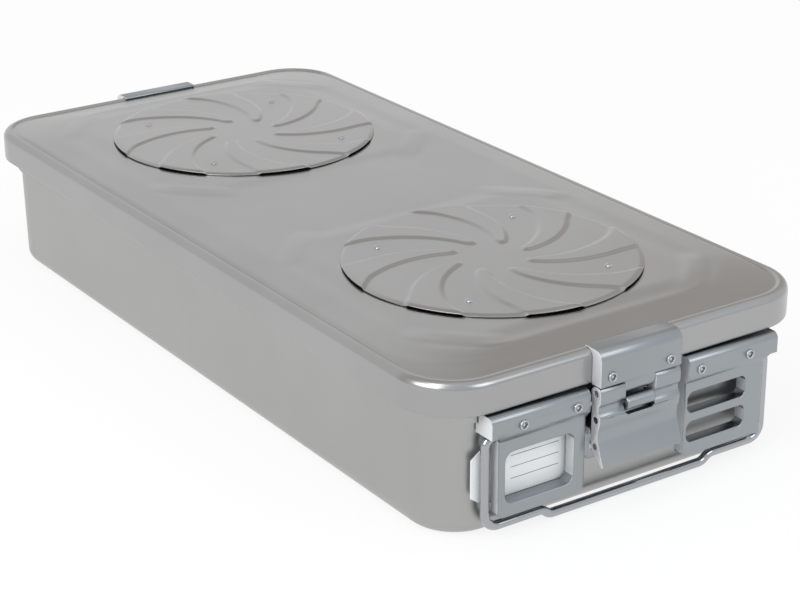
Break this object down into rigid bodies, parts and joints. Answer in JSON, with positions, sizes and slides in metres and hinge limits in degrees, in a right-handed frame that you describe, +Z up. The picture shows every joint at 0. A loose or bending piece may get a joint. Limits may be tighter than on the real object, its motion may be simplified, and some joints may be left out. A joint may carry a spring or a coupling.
{
  "type": "sterilization container",
  "caption": "Shallow full-size rigid sterilization container: aluminium pan, lift-off lid with swirl-pressed round filter covers, end latches, wire handles and a label card.",
  "frame": {"origin": "centre of the bounding box in plan, on the floor", "axes": "+Z up, +Y along the long axis to the rear end; the end with the label card faces -Y"},
  "size_m": [0.28, 0.605, 0.1077],
  "materials": {
    "pan": "satin anodised",
    "lid": "satin anodised",
    "fitting": "satin anodised",
    "rivet": "bright",
    "wire": "polished",
    "steel": "satin",
    "gasket": "silicone, matte",
    "filter": "nonwoven",
    "card": "matte"
  },
  "bodies": {
    "base": {"base_pan": "pan", "card_guide": "fitting", "label_plate_front": "fitting", "slot_plate_front": "fitting", "end_rivets_front": "rivet", "catch_front": "fitting", "catch_rivets_front": "rivet", "label_plate_rear": "fitting", "slot_plate_rear": "fitting", "end_rivets_rear": "rivet", "catch_rear": "fitting", "catch_rivets_rear": "rivet"},
    "lid": {"lid_shell": "lid", "lid_gasket": "gasket", "cover_front": "lid", "cover_spacers_front": "rivet", "cover_rivets_front": "rivet", "filter_front": "filter", "retainer_front": "steel", "retainer_stud_front": "steel", "lid_bracket_front": "fitting", "bracket_rivets_front": "rivet", "hinge_pin_front": "steel", "cover_rear": "lid", "cover_spacers_rear": "rivet", "cover_rivets_rear": "rivet", "filter_rear": "filter", "retainer_rear": "steel", "retainer_stud_rear": "steel", "lid_bracket_rear": "fitting", "bracket_rivets_rear": "rivet", "hinge_pin_rear": "steel"},
    "label_card": {"label_card": "card"},
    "handle_front": {"handle_front": "wire"},
    "latch_front": {"latch_front": "fitting", "latch_rod_front": "steel", "seal_sleeve_front": "fitting", "seal_pin_front": "steel"},
    "retainer_lock_front": {"retainer_lock_front": "steel"},
    "handle_rear": {"handle_rear": "wire"},
    "latch_rear": {"latch_rear": "fitting", "latch_rod_rear": "steel", "seal_sleeve_rear": "fitting", "seal_pin_rear": "steel"},
    "retainer_lock_rear": {"retainer_lock_rear": "steel"}
  },
  "joints": [
    {"name": "lid_lift", "type": "slide", "parent": "base", "child": "lid", "axis": [0, 0, 1], "range_m": [0, 0.15]},
    {"name": "label_card_slide", "type": "slide", "parent": "base", "child": "label_card", "axis": [-1, 0, 0], "range_m": [0, 0.075]},
    {"name": "handle_front_swing", "type": "hinge", "parent": "base", "child": "handle_front", "pos_m": [0, -0.2862, 0.064], "axis": [-1, 0, 0], "range_deg": [0, 90]},
    {"name": "latch_front_swing", "type": "hinge", "parent": "lid", "child": "latch_front", "pos_m": [0, -0.2943, 0.076], "axis": [-1, 0, 0], "range_deg": [0, 90]},
    {"name": "retainer_lock_front_turn", "type": "hinge", "parent": "lid", "child": "retainer_lock_front", "pos_m": [0, -0.151, 0.098], "axis": [0, 0, 1], "range_deg": [0, 90]},
    {"name": "handle_rear_swing", "type": "hinge", "parent": "base", "child": "handle_rear", "pos_m": [0, 0.2862, 0.064], "axis": [1, 0, 0], "range_deg": [0, 90]},
    {"name": "latch_rear_swing", "type": "hinge", "parent": "lid", "child": "latch_rear", "pos_m": [0, 0.2943, 0.076], "axis": [1, 0, 0], "range_deg": [0, 90]},
    {"name": "retainer_lock_rear_turn", "type": "hinge", "parent": "lid", "child": "retainer_lock_rear", "pos_m": [0, 0.151, 0.098], "axis": [0, 0, 1], "range_deg": [0, 90]}
  ]
}
